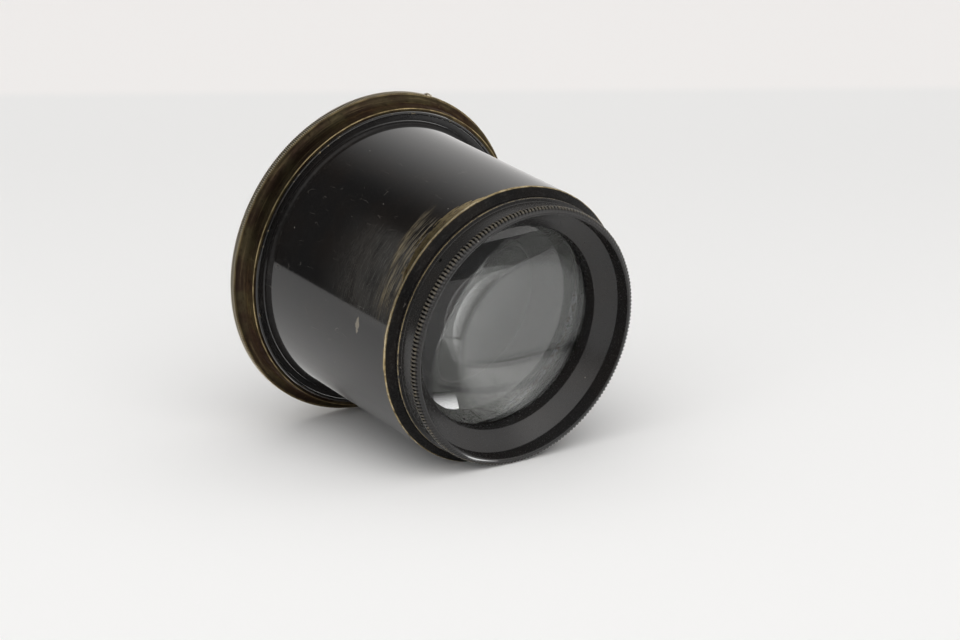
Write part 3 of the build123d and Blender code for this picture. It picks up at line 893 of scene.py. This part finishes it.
def make_collar():
    half = COLLAR_BEAD_HALF
    bead = [
        (COLLAR_RADIUS - half + half * cos(t), COLLAR_BEAD_BASE + half * sin(t))
        for t in np.linspace(0, pi, 9)
    ]
    cove = [
        (BARREL_RADIUS + 1.0 - sin(t), COVE_REAR + COVE_RISE * (1 - cos(t)))
        for t in np.linspace(0.15, pi / 2, 8)
    ]
    rows = plain(
        [
            (COLLAR_THREAD - 0.05, RECESS_FLOOR - 0.15),
            (COLLAR_THREAD - 0.05, RECESS_FLOOR + 0.05, 0.05),
            (COLLAR_RADIUS, RECESS_FLOOR + 0.05, 0.15),
            (COLLAR_RADIUS, COLLAR_SHOULDER),
        ]
    )
    rows += plain(bead)
    rows += plain(
        [
            (COLLAR_RADIUS - 2 * half, COLLAR_BEAD_BASE - 0.1),
            (COLLAR_RADIUS - 2 * half, COLLAR_GROOVE, 0.08),
            (BARREL_RADIUS + 1.1, COLLAR_GROOVE, 0.08),
            (BARREL_RADIUS + 1.1, COVE_REAR, 0.1),
            (BARREL_RADIUS + 1.0, COVE_REAR),
        ]
    )
    rows += plain(cove)
    rows += plain(
        [
            (BARREL_RADIUS, BARREL_REAR),
            (SLEEVE_RADIUS, BARREL_REAR),
            (SLEEVE_RADIUS, SLEEVE_FRONT, 0.15),
            (COLLAR_BORE + 0.02, SLEEVE_FRONT, 0.2),
            (COLLAR_BORE + 0.02, SLEEVE_FRONT - 0.4),
        ]
    )
    rows += thread_rows(COLLAR_BORE + 0.02, SLEEVE_FRONT - 0.4, COLLAR_REAR + 0.2, False)
    rows += plain(
        [
            (COLLAR_BORE + 0.02, COLLAR_REAR + 0.15),
            (COLLAR_BORE + 0.02, COLLAR_REAR, 0.1),
            (COLLAR_THREAD - 0.05, COLLAR_REAR, 0.15),
            (COLLAR_THREAD - 0.05, COLLAR_REAR + 0.2),
        ]
    )
    rows += thread_rows(COLLAR_THREAD - 0.05, COLLAR_REAR + 0.25, RECESS_FLOOR - 0.2, True)
    piece = turned("rear_collar_turned", rows)
    finish_with(
        piece,
        "collar",
        ("thread", lambda r, s: (s < 3.0) & (r > COLLAR_THREAD - 0.7)),
        ("thread", lambda r, s: (s < SLEEVE_FRONT - 0.2) & (r < COLLAR_BORE + 0.7)),
    )
    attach(piece, "barrel")
    piece.visible_glossy = False
    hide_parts("rear_collar")


def make_barrel():
    groove = outer("stop_spring_ring") + 0.02
    groove_front, groove_rear = front("stop_spring_ring"), rear("stop_spring_ring")
    outside = np.linspace(BARREL_REAR + 0.4, BARREL_FRONT - 0.3, 16)
    bore_front = np.linspace(BARREL_FRONT - 1, groove_front + 0.3, 8)
    bore_rear = np.linspace(groove_rear - 0.4, BARREL_REAR + 0.3, 8)
    rows = plain([(BARREL_RADIUS, s) for s in outside])
    rows += plain(
        [
            (BARREL_RADIUS, BARREL_FRONT - 0.2),
            (BARREL_RADIUS, BARREL_FRONT, 0.12),
            (BARREL_BORE, BARREL_FRONT, 0.05),
            (BARREL_BORE, BARREL_FRONT - 0.3),
        ]
    )
    rows += plain([(BARREL_BORE, s) for s in bore_front])
    rows += plain(
        [
            (BARREL_BORE, groove_front + 0.1),
            (groove, groove_front + 0.02),
            (groove, groove_rear - 0.02),
            (BARREL_BORE, groove_rear - 0.1),
        ]
    )
    rows += plain([(BARREL_BORE, s) for s in bore_rear])
    rows += plain(
        [
            (BARREL_BORE, BARREL_REAR + 0.2),
            (BARREL_BORE, BARREL_REAR, 0.05),
            (BARREL_RADIUS, BARREL_REAR, 0.05),
            (BARREL_RADIUS, BARREL_REAR + 0.2),
        ]
    )
    piece = turned("barrel_tube_turned", rows)
    finish_with(piece, "barrel", ("blackened", lambda r, s: r < BARREL_RADIUS - 0.4))
    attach(piece, "barrel")
    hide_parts("barrel_tube")


def make_front_ring():
    chamfer = outer("barrel_front_ring")
    rows = plain(
        [
            (FRONT_RING_BORE + 0.02, FRONT_RING_FRONT - 0.15),
            (FRONT_RING_BORE + 0.02, FRONT_RING_FRONT, 0.08),
            (chamfer - 1.6, FRONT_RING_FRONT, 0.12),
            (chamfer - 0.12, BARREL_FRONT + 0.14, 0.1),
            (chamfer - 0.02, BARREL_FRONT + 0.02, 0.05),
            (BARREL_BORE, BARREL_FRONT + 0.01),
            (BARREL_BORE, FRONT_RING_REAR, 0.1),
            (SLEEVE_RADIUS, FRONT_RING_REAR, 0.1),
            (SLEEVE_RADIUS, FRONT_THREAD_REAR - 0.02),
            (FRONT_RING_BORE + 0.02, FRONT_THREAD_REAR, 0.1),
            (FRONT_RING_BORE + 0.02, FRONT_THREAD_REAR + 0.2),
        ]
    )
    rows += thread_rows(
        FRONT_RING_BORE + 0.02, FRONT_THREAD_REAR + 0.25, FRONT_RING_FRONT - 0.3, False
    )
    piece = turned("barrel_front_ring_turned", rows)
    finish_with(
        piece,
        "front_ring",
        ("thread", lambda r, s: (r < 26.0) & (s < FRONT_RING_FRONT - 0.1) & (s > FRONT_THREAD_REAR)),
        ("blackened", lambda r, s: s < FRONT_THREAD_REAR),
    )
    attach(piece, "barrel")
    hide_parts("barrel_front_ring")


def make_front_cell():
    teeth = BEAD_TEETH
    thread = FRONT_RING_BORE - 0.08
    rows = plain(
        [
            (FUNNEL_INNER[0], FRONT_SEAT + 0.5),
            (FUNNEL_INNER[0], FRONT_SEAT, 0.1),
            (FRONT_GLASS_RADIUS + 0.05, FRONT_SEAT),
            (FRONT_GLASS_RADIUS + 0.05, FRONT_LOCK_FRONT + 0.3),
            (FRONT_LOCK_RADIUS, FRONT_LOCK_FRONT + 0.3, 0.1),
            (FRONT_LOCK_RADIUS, CELL_REAR, 0.2),
            (CELL_BODY_RADIUS, CELL_REAR, 0.3),
            (CELL_BODY_RADIUS, FRONT_THREAD_REAR, 0.3),
            (thread, FRONT_THREAD_REAR + 0.35, 0.1),
            (thread, FRONT_THREAD_REAR + 0.45),
        ],
        teeth,
    )
    rows += thread_rows(thread, FRONT_THREAD_REAR + 0.5, FRONT_RING_FRONT - 0.1, True, teeth)
    rows += plain(
        [
            (thread, FRONT_RING_FRONT),
            (thread, FRONT_RING_FRONT + 0.06, 0.03),
            (SHOULDER_RADIUS, FRONT_RING_FRONT + 0.06, 0.12),
            (SHOULDER_RADIUS, SHOULDER_FRONT, 0.14),
            (BAND_RADIUS, SHOULDER_FRONT + 0.02, 0.15),
            (BAND_RADIUS, BEAD_REAR - 1.5),
            (BAND_RADIUS, BEAD_REAR - 0.02, 0.06),
            (BAND_RADIUS + 0.08, BEAD_REAR - 0.01),
        ],
        teeth,
    )
    profile = bead_profile(BEAD_REAR, BEAD_FRONT, 0.34, 0.94, 13)
    rows += milled(BEAD_RADIUS, profile, teeth, TOOTH_DEPTH + 0.06, 3)
    rows += plain(
        [
            (LIP_RADIUS - 0.18, BEAD_FRONT + 0.01),
            ((LIP_RADIUS + LIP_BORE) / 2, LIP_FRONT, 0.2),
            (LIP_BORE + 0.02, BEAD_FRONT - 0.05, 0.12),
            (LIP_BORE, BEAD_FRONT - 0.4),
            (FUNNEL_OUTER[0], FUNNEL_OUTER[1], 0.12),
            ((FUNNEL_OUTER[0] + FUNNEL_INNER[0]) / 2, (FUNNEL_OUTER[1] + FUNNEL_INNER[1]) / 2),
            (FUNNEL_INNER[0], FUNNEL_INNER[1], 0.18),
            (FUNNEL_INNER[0], FUNNEL_INNER[1] - 0.6),
        ],
        teeth,
    )
    piece = turned("front_cell_turned", rows)
    finish_with(
        piece,
        "cell",
        (
            "thread",
            lambda r, s: (r > CELL_BODY_RADIUS + 0.3)
            & (s > FRONT_THREAD_REAR + 0.3)
            & (s < FRONT_RING_FRONT),
        ),
        ("blackened", lambda r, s: s < FRONT_THREAD_REAR),
    )
    drill_spanner_hole(piece)
    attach(piece, "front_cell")
    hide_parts("front_cell")


def drill_spanner_hole(piece):
    """The small blind hole in the smooth band, for a pin spanner, with a tapered end."""
    angle = radians(SPANNER_ANGLE)
    outward = Vector((cos(angle), 0, sin(angle)))
    along = Vector((0, 1, 0))
    side = outward.cross(along)
    floor = BAND_RADIUS - SPANNER_DEPTH
    count = 24
    drill = bmesh.new()
    rings = []
    for reach, share in ((floor, 0.5), (floor + 0.2, 1.0), (BAND_RADIUS + 0.5, 1.0)):
        ring = []
        for i in range(count):
            t = 2 * pi * i / count
            rim = (side * cos(t) + along * sin(t)) * SPANNER_RADIUS * share
            ring.append(drill.verts.new((outward * reach - along * SPANNER_STATION + rim) * MM))
        rings.append(ring)
    for low, high in zip(rings, rings[1:]):
        for i in range(count):
            j = (i + 1) % count
            drill.faces.new((low[i], low[j], high[j], high[i]))
    drill.faces.new(rings[0])
    drill.faces.new(rings[-1])
    bmesh.ops.recalc_face_normals(drill, faces=drill.faces)
    tool = add_object("spanner_drill", bpy.data.meshes.new("spanner_drill"))
    drill.to_mesh(tool.data)
    drill.free()
    cut = piece.modifiers.new("spanner_hole", "BOOLEAN")
    cut.operation = "DIFFERENCE"
    cut.solver = "EXACT"
    cut.object = tool
    bpy.context.view_layer.update()
    evaluated = piece.evaluated_get(bpy.context.evaluated_depsgraph_get())
    result = bpy.data.meshes.new_from_object(evaluated)
    piece.modifiers.clear()
    piece.data = result
    bpy.data.objects.remove(tool)


def make_rear_cell():
    teeth = REAR_TEETH
    thread = REAR_CELL_THREAD - 0.05
    rows = plain(
        [
            (thread, REAR_THREAD_FRONT - 0.5),
            (thread, REAR_THREAD_FRONT - 0.4, 0.05),
            (REAR_NOSE_RADIUS, REAR_THREAD_FRONT, 0.2),
            (REAR_NOSE_RADIUS, REAR_CELL_FRONT, 0.3),
            (REAR_SEAT_BORE, REAR_CELL_FRONT, 0.2),
            (REAR_SEAT_BORE, REAR_SEAT, 0.05),
            (REAR_GLASS_RADIUS + 0.05, REAR_SEAT),
            (REAR_GLASS_RADIUS + 0.05, REAR_LOCK_FRONT + 0.2),
            (REAR_LOCK_RADIUS, REAR_LOCK_FRONT + 0.2, 0.05),
            (REAR_LOCK_RADIUS, REAR_LOCK_REAR - 0.4, 0.2),
            (REAR_FACE[0], REAR_CELL_REAR, 0.25),
            (REAR_FACE[1], REAR_CELL_REAR, 0.25),
            (REAR_FACE[2], REAR_BEAD[0] - 0.02),
        ],
        teeth,
    )
    profile = bead_profile(*REAR_BEAD, 0.42, 0.42, 11)
    rows += milled(REAR_GRIP_RADIUS, profile, teeth, TOOTH_DEPTH, 9)
    rows += plain(
        [
            (REAR_GRIP_RADIUS - 0.5, REAR_BEAD[1] + 0.01),
            (REAR_CELL_RADIUS - 0.2, REAR_BEAD[1] + 0.05),
            (REAR_CELL_RADIUS, REAR_BEAD[1] + 0.35, 0.1),
            (REAR_CELL_RADIUS, COLLAR_REAR - 0.05, 0.15),
            (thread, COLLAR_REAR - 0.05),
            (thread, COLLAR_REAR + 0.1),
        ],
        teeth,
    )
    rows += thread_rows(thread, COLLAR_REAR + 0.15, REAR_THREAD_FRONT - 0.55, True, teeth)
    piece = turned("rear_cell_turned", rows)
    finish_with(
        piece,
        "rear_cell",
        (
            "thread",
            lambda r, s: (r > REAR_NOSE_RADIUS + 0.5)
            & (s > COLLAR_REAR)
            & (s < REAR_THREAD_FRONT - 0.2),
        ),
        ("blackened", lambda r, s: (s > REAR_LOCK_REAR - 0.4) & (r < REAR_LOCK_RADIUS + 0.1)),
        ("blackened", lambda r, s: s > REAR_THREAD_FRONT - 0.2),
    )
    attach(piece, "rear_cell")
    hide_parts("rear_cell")


def sag(curve, reach):
    return abs(curve) - sqrt(curve**2 - reach**2)


def lens_face(vertex, curve, reaches):
    """Rows of a spherical face, from the axis out. A curve above 0 bulges to the front."""
    side = 1 if curve > 0 else -1
    return [(reach, vertex - side * sag(curve, reach), SEGMENTS, None) for reach in reaches]


def make_lens(node, body, material):
    """A glass element between two spherical faces, with a small ground chamfer at each edge."""
    front_curve, rear_curve = GLASS_CURVES[node]
    size = outer(node)
    chamfer = 0.12
    front_vertex = front(node) if front_curve > 0 else front(node) - sag(front_curve, size)
    rear_vertex = rear(node) + sag(rear_curve, size) if rear_curve > 0 else rear(node)
    reaches = np.linspace(0, size - chamfer, 22)
    front_rows = lens_face(front_vertex, front_curve, reaches)
    rear_rows = lens_face(rear_vertex, rear_curve, reaches)
    edge = [
        (size - 0.01, front_rows[-1][1] - chamfer * 0.8, SEGMENTS, None),
        (size - 0.01, rear_rows[-1][1] + chamfer * 0.8, SEGMENTS, None),
    ]
    rows = front_rows + edge + rear_rows[::-1]
    piece = turned(node + "_polished", rows, closed=False, sharp=20)
    finish_with(piece, material, ("glass_edge", lambda r, s: r > size - chamfer - 0.01))
    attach(piece, body)
    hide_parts(node)


make_mounting_ring()
make_collar()
make_barrel()
make_front_ring()
make_front_cell()
make_rear_cell()
make_lens("front_crown", "front_glass", "crown")
make_lens("front_flint", "front_glass", "flint")
make_lens("rear_flint", "rear_glass", "flint")
make_lens("rear_crown", "rear_glass", "crown")

for node in (
    "front_spacer",
    "front_locking_ring",
    "stop_seat_ring",
    "stop_disc",
    "rear_spacer",
    "rear_locking_ring",
):
    finish_with(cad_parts[node], "blackened")
finish_with(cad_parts["stop_spring_ring"], "steel")


# ---- stage: the lens lies on its mounting ring and its milled bead ----
ring_contact = Vector((0, -0.7, -RING_RADIUS)) * MM
bead_contact = Vector((0, -(BEAD_REAR + BEAD_FRONT) / 2, -BEAD_RADIUS)) * MM
lie = (bead_contact - ring_contact).normalized()
floor_up = Vector((1, 0, 0)).cross(lie)
if floor_up.z < 0:
    floor_up.negate()
view_forward = Vector((0.581, 0.730, -0.360))
view_up = Vector((0.152, 0.338, 0.929))
camera_place = Vector((-287.4, -398.2, 176.5)) * MM
floor_ahead = (view_forward - floor_up * view_forward.dot(floor_up)).normalized()
floor_side = floor_ahead.cross(floor_up)
floor_middle = (ring_contact + bead_contact) / 2 - floor_up * 0.04 * MM


def floor_material():
    """Plain pale paper with painted light: lighter towards the camera and darker away from it.
    Far behind the lens it is a little lighter and warmer.
    """
    f = Finish("pale_floor")
    ahead = f.nodes.new("ShaderNodeVectorMath")
    ahead.operation = "DOT_PRODUCT"
    f.links.new(f.place, ahead.inputs[0])
    ahead.inputs[1].default_value = floor_ahead
    distance = ahead.outputs["Value"]
    # Painted light: the paper is painted lighter near the camera and darker further away.
    near = f.ease(distance, -150.0, 330.0, 1.0, 0.0)
    paper = f.blend(near, (0.81, 0.81, 0.81), (0.92, 0.92, 0.92))
    colour = f.blend(f.ease(distance, 405.0, 430.0), paper, (0.86, 0.845, 0.84))
    f.bump(f.noise(0.8, detail=5.0), 0.01, 0.25)
    f.put(f.shader.inputs["Specular IOR Level"], 0.0)
    return f.set(Base_Color=colour, Roughness=0.9)


def make_floor():
    half, behind, ahead = 3.0, -0.5, 4.0
    corners = [
        tuple(floor_middle + floor_side * x + floor_ahead * y)
        for x, y in ((-half, behind), (half, behind), (half, ahead), (-half, ahead))
    ]
    floor = add_mesh("floor", corners, [(0, 1, 2, 3)])
    floor.data.materials.append(floor_material())


class Glow:
    """A material that only glows. Its level is a number, or the node output given to shine."""

    def __init__(self, name, strength=1.0):
        self.material = bpy.data.materials.new(name)
        self.material.use_nodes = True
        self.nodes = self.material.node_tree.nodes
        self.links = self.material.node_tree.links
        self.nodes.clear()
        self.emission = self.nodes.new("ShaderNodeEmission")
        self.emission.inputs["Strength"].default_value = strength
        output = self.nodes.new("ShaderNodeOutputMaterial")
        self.links.new(self.emission.outputs[0], output.inputs["Surface"])

    def ease(self, value, low, high, at_low, at_high):
        node = self.nodes.new("ShaderNodeMapRange")
        node.interpolation_type = "SMOOTHSTEP"
        self.links.new(value, node.inputs["Value"])
        for socket, setting in zip(node.inputs[1:5], (low, high, at_low, at_high)):
            socket.default_value = setting
        return node.outputs[0]

    def shine(self, level):
        self.links.new(level, self.emission.inputs["Strength"])
        return self.material


def dome_material():
    """Light that the glossy surfaces and the glass see: bright on the right, dark on the left,
    with a lamp above the front and another to its right."""
    glow = Glow("room_reflection")
    nodes, links = glow.nodes, glow.links
    coordinates = nodes.new("ShaderNodeTexCoord")
    direction = nodes.new("ShaderNodeVectorMath")
    direction.operation = "NORMALIZE"
    links.new(coordinates.outputs["Object"], direction.inputs[0])
    axes = nodes.new("ShaderNodeSeparateXYZ")
    links.new(direction.outputs[0], axes.inputs[0])
    level = glow.ease(axes.outputs["X"], -0.25, 0.55, 0.03, 0.9)
    for place, low, high, strength in (
        ((-0.05, -0.85, 0.52), 0.80, 0.97, 1.2),
        ((0.60, -0.80, 0.06), 0.90, 0.985, 0.8),
    ):
        towards = nodes.new("ShaderNodeVectorMath")
        towards.operation = "DOT_PRODUCT"
        links.new(direction.outputs[0], towards.inputs[0])
        towards.inputs[1].default_value = Vector(place).normalized()
        total = nodes.new("ShaderNodeMath")
        links.new(level, total.inputs[0])
        links.new(glow.ease(towards.outputs["Value"], low, high, 0.0, strength), total.inputs[1])
        level = total.outputs[0]
    glow.emission.inputs["Color"].default_value = (1.0, 0.985, 0.97, 1.0)
    return glow.shine(level)


def fading_glow(name, strength):
    """A glow that is full at the card's near edge and fades to nothing at its far one."""
    glow = Glow(name)
    place = glow.nodes.new("ShaderNodeTexCoord")
    axes = glow.nodes.new("ShaderNodeSeparateXYZ")
    glow.links.new(place.outputs["Generated"], axes.inputs[0])
    return glow.shine(glow.ease(axes.outputs["Y"], 0.0, 1.0, 0.0, strength))


def only_reflected(thing, material):
    """The thing has that material, and the camera and the plain light don't see it."""
    thing.data.materials.append(material)
    thing.visible_camera = False
    thing.visible_diffuse = False
    thing.visible_shadow = False


def reflection_card(name, near, far, left, right, lift, material):
    """A sheet just above the floor, between two stations and two places across."""
    corners = []
    for x, y in ((left, near), (right, near), (right, far), (left, far)):
        height = (Vector((0, y * MM, 0)) - floor_middle).dot(floor_up) / floor_up.z
        corners.append((x * MM, y * MM, lift * MM - height))
    card = add_mesh(name, corners, [(0, 1, 2, 3)])
    only_reflected(card, material)
    return card


def make_floor_edge():
    """What the glass sees in front of the lens: the paper ends, with a dark gap and a grey room
    beyond it."""
    for name, near, far, strength in (
        ("floor_gap_reflection", -195.0, -230.0, 0.245),
        ("room_floor_reflection", -230.0, -520.0, 0.304),
    ):
        reflection_card(name, near, far, -500.0, 500.0, 0.5, Glow(name, strength).material)


def make_glint():
    """A small bright card under the lip that the front glass mirrors at its lower left."""
    name = "glint_reflection"
    card = reflection_card(name, -53.0, -60.0, -10.0, -3.1, 0.4, fading_glow(name, 13.0))
    card.visible_transmission = False


def make_dome():
    radius, rings, count = 0.58, 14, 48
    vertices, faces = [], []
    for i in range(rings):
        t = i / rings * pi / 2
        for k in range(count):
            a = 2 * pi * k / count
            flat = (floor_side * cos(a) + floor_ahead * sin(a)) * cos(t)
            vertices.append(tuple((flat + floor_up * sin(t)) * radius))
    vertices.append(tuple(floor_up * radius))
    for i in range(rings - 1):
        for k in range(count):
            a, b = i * count + k, i * count + (k + 1) % count
            faces.append((a, a + count, b + count, b))
    top = rings * count
    last = (rings - 1) * count
    faces += [(last + k, top, last + (k + 1) % count) for k in range(count)]
    dome = add_mesh("reflection_dome", vertices, faces)
    dome.data.shade_smooth()
    dome.location = floor_middle
    only_reflected(dome, dome_material())


def aim(thing, place, target, up=Vector((0, 0, 1))):
    back = (place - target).normalized()
    side = up.cross(back).normalized()
    turn = Matrix((side, back.cross(side), back)).transposed()
    thing.matrix_world = Matrix.Translation(place) @ turn.to_4x4()


def make_sun(name, direction, strength, spread):
    data = bpy.data.lights.new(name, "SUN")
    data.energy = strength
    data.angle = radians(spread)
    data.color = (1.0, 0.99, 0.975)
    light = add_object(name, data)
    aim(light, Vector(direction), Vector((0, 0, 0)))
    light.visible_glossy = False
    light.visible_transmission = False


make_floor()
make_dome()
make_floor_edge()
make_glint()
make_sun("main_light", (0.15, 0.0, 1.0), 1.0, 100.0)
make_sun("fill_light", (-0.60, -0.60, 0.70), 2.3, 90.0)

world = bpy.data.worlds.new("studio")
bpy.context.scene.world = world
world.use_nodes = True
background = world.node_tree.nodes["Background"]
background.inputs["Color"].default_value = (1.0, 0.998, 0.995, 1.0)
background.inputs["Strength"].default_value = 0.28

camera_data = bpy.data.cameras.new("camera")
camera_data.sensor_width = 36.0
camera_data.lens = 96.06
camera = add_object("camera", camera_data)
aim(camera, camera_place, camera_place + view_forward, view_up)
bpy.context.scene.camera = camera
bpy.context.scene.view_settings.view_transform = "Standard"
